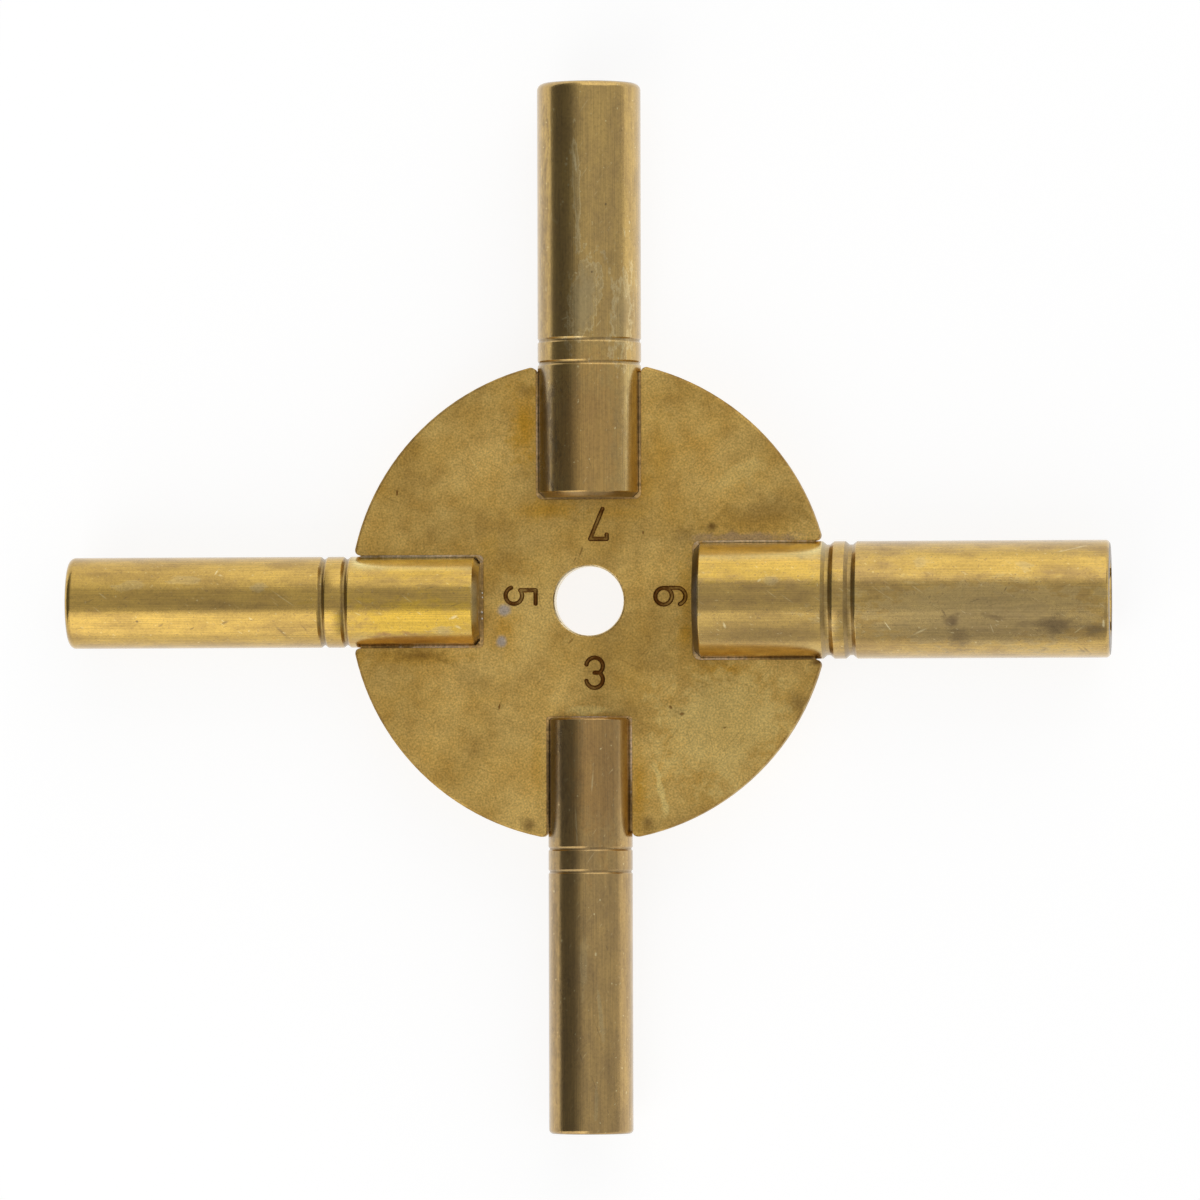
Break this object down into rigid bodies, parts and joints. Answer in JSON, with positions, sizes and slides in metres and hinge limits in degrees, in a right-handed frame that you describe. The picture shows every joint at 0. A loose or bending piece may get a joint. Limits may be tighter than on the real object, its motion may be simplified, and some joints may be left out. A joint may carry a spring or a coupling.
{
  "type": "clock winding key",
  "caption": "Brass disc with socket barrels let into its rim like spokes, each with a square socket of another size, for winding clocks by hand.",
  "frame": {"origin": "centre of the hang hole, half way through the disc", "axes": "+Z out of the numbered face, +X out along the 9 barrel, +Y out along the 7 barrel"},
  "size_m": [0.0755, 0.0759, 0.0085],
  "materials": {
    "disc_brass": "aged rolled sheet, dull, with brown stains",
    "barrel_brass": "turned rod, worn bright, with fine scratches",
    "solder": "dull grey solder, dark with dirt"
  },
  "bodies": {
    "root": {"hub_disc": "disc_brass", "barrel_3": "barrel_brass", "barrel_5": "barrel_brass", "barrel_7": "barrel_brass", "barrel_9": "barrel_brass", "solder_seam_3": "solder", "solder_seam_5": "solder", "solder_seam_7": "solder", "solder_seam_9": "solder"}
  },
  "joints": []
}
